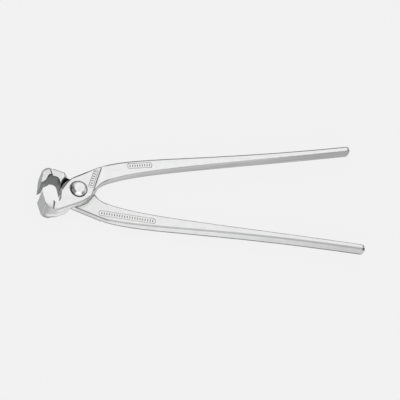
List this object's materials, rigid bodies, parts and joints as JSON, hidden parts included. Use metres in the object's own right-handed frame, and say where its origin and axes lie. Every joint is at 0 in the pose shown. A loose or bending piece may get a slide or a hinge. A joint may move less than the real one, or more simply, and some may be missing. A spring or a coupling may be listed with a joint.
{
  "type": "rebar tying pliers",
  "caption": "Steel end-cutting pliers for twisting and nipping tying wire: crossed forged levers with broad hollow jaws turn on a riveted lap joint and end in long slim bare handles.",
  "frame": {"origin": "on the pivot axis, at the flat lower end of the rivet that the lying tool rests on", "axes": "+X from the pivot along the tool's middle line to the handle ends, -X to the cutting edges, +Z along the rivet and out of the upper side, Y across the handles"},
  "size_m": [0.276, 0.1022, 0.0228],
  "materials": {
    "lever_steel": "bright zinc plated forging, satin",
    "rivet_steel": "bright zinc plated, turned"
  },
  "bodies": {
    "front_lever": {"front_lever": "lever_steel", "rivet": "rivet_steel"},
    "rear_lever": {"rear_lever": "lever_steel"}
  },
  "joints": [
    {"name": "jaw_pivot", "type": "hinge", "parent": "front_lever", "child": "rear_lever", "pos_m": [0, 0, 0.0114], "axis": [0, 0, 1], "range_deg": [-27, 13]}
  ]
}
